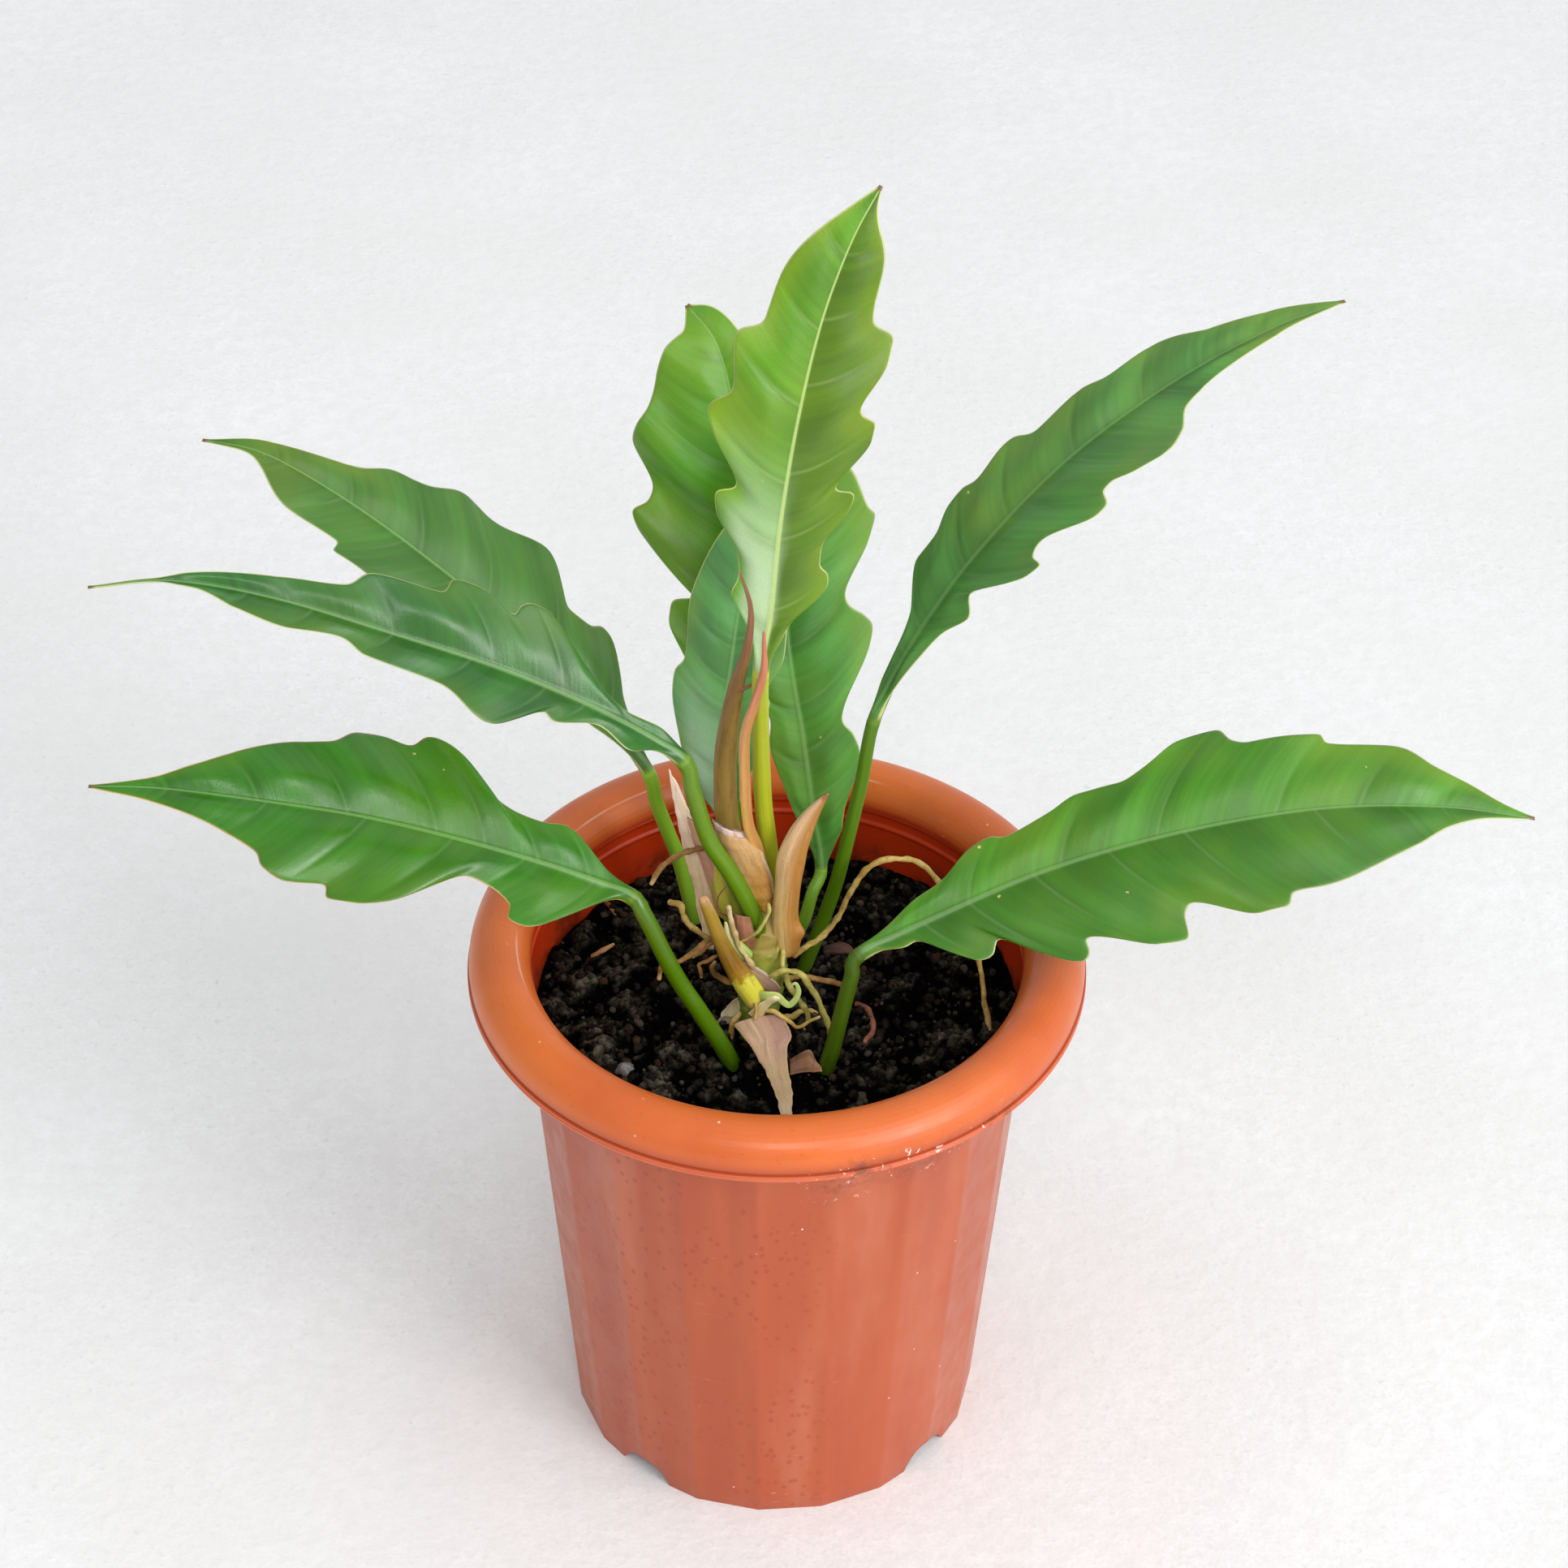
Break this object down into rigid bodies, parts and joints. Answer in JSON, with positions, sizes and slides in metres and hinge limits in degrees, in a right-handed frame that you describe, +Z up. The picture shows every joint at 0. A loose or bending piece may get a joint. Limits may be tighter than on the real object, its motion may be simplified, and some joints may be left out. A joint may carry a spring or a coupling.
{
  "type": "potted jungle boogie philodendron",
  "caption": "Potted philodendron with long toothed leaves on arching stalks, rolled new leaves, dried sheaths and aerial roots, in a round plastic pot of dark soil with a rolled rim.",
  "frame": {"origin": "on the pot's axis at the ground, on the flat middle of the pot's underside", "axes": "+Z up along the pot's axis, +X to the right and -Y to the front, where the plant faces"},
  "size_m": [0.4789, 0.2241, 0.4797],
  "materials": {
    "pot": "satin moulded plastic, terracotta orange",
    "soil": "damp crumbly potting soil, near black",
    "stem": "fresh green stem",
    "leaf": "glossy green leaf with a pale midrib and margin",
    "pale_leaf": "younger yellow-green leaf, glossy",
    "olive": "rolled new leaf, olive brown",
    "pink": "rolled new leaf, pink orange",
    "sheath": "dried papery sheath, pink brown to yellow",
    "scrap": "dry brown scrap of leaf or twig",
    "root": "yellow tan aerial root",
    "bark": "brown bark chip",
    "pebble": "small grey pebble"
  },
  "bodies": {
    "root": {"pot": "pot", "soil": "soil", "stem": "stem", "leaf_front_left": "leaf", "leaf_mid_left": "leaf", "leaf_upper_left": "leaf", "leaf_back_left": "leaf", "leaf_top_centre": "pale_leaf", "leaf_inner_left": "leaf", "leaf_inner_right": "leaf", "leaf_upper_right": "leaf", "leaf_front_right": "leaf", "new_leaf_olive": "olive", "new_leaf_pink": "pink", "sheath_centre": "sheath", "sheath_right": "sheath", "sheath_left": "sheath", "sheath_low": "sheath", "dry_flap": "scrap", "dry_scrap_left": "scrap", "dry_scrap_right": "scrap", "bark_chip": "bark", "twig_left": "scrap", "twig_back": "scrap", "pebble": "pebble", "aerial_root_1": "root", "aerial_root_2": "root", "aerial_root_3": "root", "aerial_root_4": "root", "aerial_root_5": "root", "aerial_root_6": "root", "aerial_root_7": "root", "aerial_root_8": "root", "aerial_root_9": "root", "aerial_root_10": "root", "aerial_root_11": "root", "aerial_root_12": "root"}
  },
  "joints": []
}
